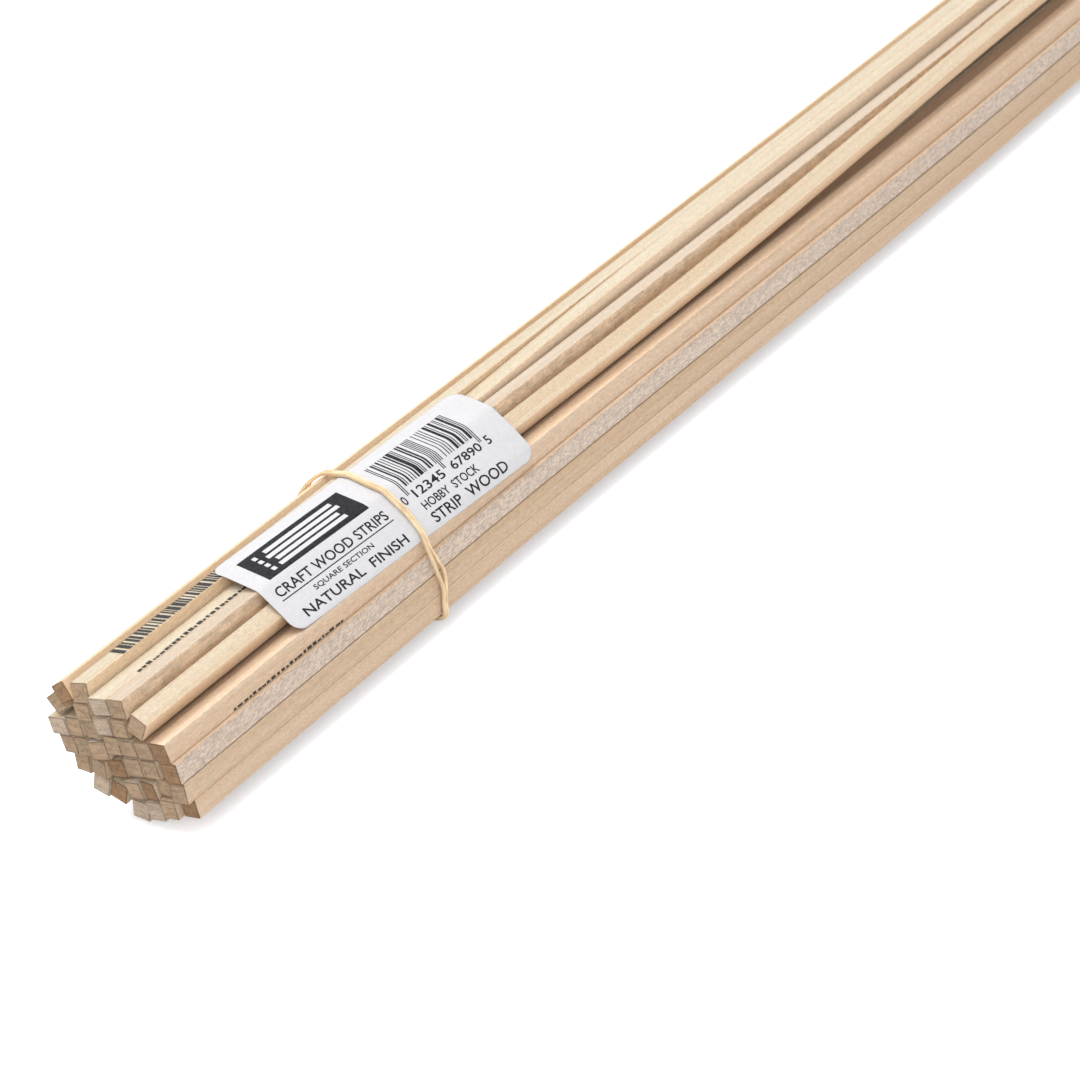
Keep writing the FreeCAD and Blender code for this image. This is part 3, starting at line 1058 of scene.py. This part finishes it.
def build_camera():
    """A long lens that looks down along the bundle from its near end, rolled a little."""
    forward = Vector((
        math.cos(VIEW_DIP) * math.cos(VIEW_HEADING),
        math.cos(VIEW_DIP) * math.sin(VIEW_HEADING),
        -math.sin(VIEW_DIP),
    ))
    level = Vector((math.sin(VIEW_HEADING), -math.cos(VIEW_HEADING), 0))
    above = level.cross(forward)
    right = math.cos(VIEW_ROLL) * level - math.sin(VIEW_ROLL) * above
    above = right.cross(forward)
    camera = bpy.data.objects.new("camera", bpy.data.cameras.new("camera"))
    turn = Matrix((right, above, -forward)).transposed().to_4x4()
    camera.matrix_world = Matrix.Translation((Vector(LOOK_AT) - VIEW_DISTANCE * forward) * MM) @ turn
    camera.data.lens = LENS
    camera.data.sensor_width = SENSOR
    camera.data.clip_start = CLIP_NEAR
    camera.data.clip_end = CLIP_FAR
    # an empty holds the focus, so that the object is sharp from every side
    focus = bpy.data.objects.new("focus", None)
    focus.location = (Vector(LOOK_AT) - (1 - FOCUS_SHARE) * VIEW_DISTANCE * forward) * MM
    bpy.context.scene.collection.objects.link(focus)
    camera.data.dof.use_dof = True
    camera.data.dof.focus_object = focus
    camera.data.dof.aperture_fstop = F_STOP
    bpy.context.scene.collection.objects.link(camera)
    bpy.context.scene.camera = camera


def add_softbox(name, place, target, size, power, colour):
    """A square soft light that faces a target.  Places in metres."""
    lamp = bpy.data.lights.new(name, "AREA")
    lamp.shape = "SQUARE"
    lamp.size = size
    lamp.energy = power
    lamp.color = colour
    holder = bpy.data.objects.new(name, lamp)
    holder.location = place
    holder.rotation_euler = (Vector(target) - Vector(place)).to_track_quat("-Z", "Y").to_euler()
    bpy.context.scene.collection.objects.link(holder)


ROOM_COLOUR = (0.97, 0.98, 1.0, 1)
ROOM_STRENGTH = 0.75


def build_light():
    """A bright pale room with a large soft key light above the bundle's far left."""
    world = bpy.data.worlds.new("room")
    bpy.context.scene.world = world
    world.use_nodes = True
    background = world.node_tree.nodes["Background"]
    background.inputs["Color"].default_value = ROOM_COLOUR
    background.inputs["Strength"].default_value = ROOM_STRENGTH
    add_softbox("key", (-0.15, 0.4, 1.55), (0, 0, 0), size=1.3, power=23, colour=(1.0, 0.985, 0.96))
    add_softbox("fill", (-1.2, -0.9, 0.7), (-0.2, 0, 0), size=1.0, power=5, colour=(1.0, 0.99, 0.98))


FLOOR_REACH = 20000.0
FLOOR_GLOW = 0.44
FLOOR_PALES = (0.93, 0.935, 0.945, 1), (0.95, 0.95, 0.955, 1)


def build_floor():
    """A wide pale floor, faintly uneven, that glows a little so that its shadows stay pale."""
    shader = Shader("floor")
    place = shader.node("TexCoord").outputs["Object"]
    clouds = shader.noise(shader.stretched(place, 3, 3, 3), detail=2.0)
    colour = shader.mix(clouds, *FLOOR_PALES)
    seen = shader.node("LightPath").outputs["Is Camera Ray"]
    glow = shader.math("MULTIPLY", seen, FLOOR_GLOW)
    material = shader.finish(
        Base_Color=colour,
        Roughness=0.9,
        Specular_IOR_Level=0.1,
        Emission_Color=(0.9, 0.94, 1.0, 1),
        Emission_Strength=glow,
    )
    corners = [(x * FLOOR_REACH, y * FLOOR_REACH, 0) for x, y in ((-1, -1), (1, -1), (1, 1), (-1, 1))]
    add_piece("floor", corners, [(0, 1, 2, 3)], [material])


# ---------------------------------------------------------------- put it all together


def build_strips():
    side_wood = make_side_wood()
    end_wood = make_end_wood()
    for strip in STRIPS:
        build_strip(strip, side_wood, end_wood)


def build_marks():
    ink = make_strip_ink()
    crown = printed_bars(start=13.5, end=50.0)
    build_strip_ink("crown_print", CROWN, ink, crown, on_top)
    top_middle = printed_scraps(start=12.0, end=50.0, highest=0.27)
    build_strip_ink("top_middle_print", TOP_MIDDLE, ink, top_middle, on_top)
    side_upper = printed_scraps(start=22.0, end=62.0, highest=0.17)
    build_strip_ink("side_upper_print", SIDE_UPPER, ink, side_upper, on_right)


build_strips()
rubber = make_rubber()
build_band(FRONT_BAND, rubber, facing=1)
build_band(REAR_BAND, rubber, facing=-1)
paper = make_paper()
build_label(paper)
build_print(make_ink(), paper)
build_marks()
build_floor()
build_light()
build_camera()
bpy.context.scene.view_settings.view_transform = "Standard"
